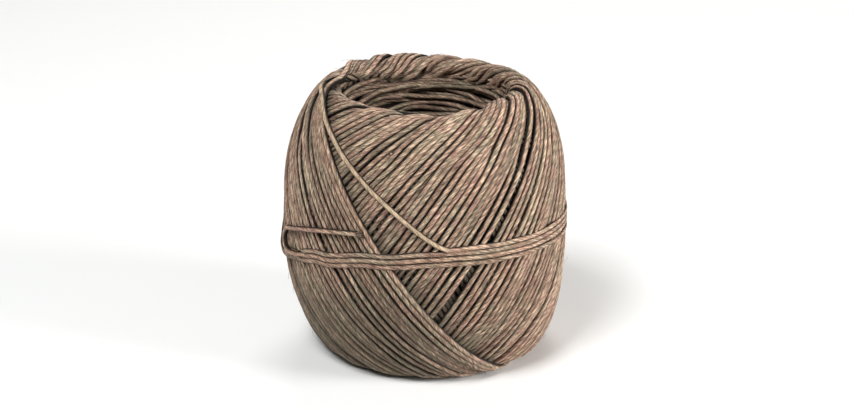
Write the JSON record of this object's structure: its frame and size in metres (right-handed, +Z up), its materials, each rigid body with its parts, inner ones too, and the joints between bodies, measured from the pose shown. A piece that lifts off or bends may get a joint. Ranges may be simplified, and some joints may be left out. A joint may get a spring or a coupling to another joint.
{
  "type": "ball of twine",
  "caption": "Barrel-shaped ball of soft natural twine, cross-wound round an open core and tied off at the waist, with a short free tail.",
  "frame": {"origin": "on the surface that the ball rests on, under the middle of the ball", "axes": "+Z up along the open core, -Y the side with the free tail and the lead turn, +X to the right seen from there"},
  "size_m": [0.0934, 0.092, 0.0883],
  "materials": {
    "wound_twine": "soft, slightly glossy single-yarn twine, light greyish brown with fine streaks",
    "tie_twine": "the same twine, drawn tight, a shade lighter",
    "lead_twine": "the same twine, a paler tan stretch"
  },
  "bodies": {
    "root": {"wound_ball": "wound_twine", "waist_tie": "tie_twine", "lead_turn": "lead_twine", "tail": "tie_twine"}
  },
  "joints": []
}
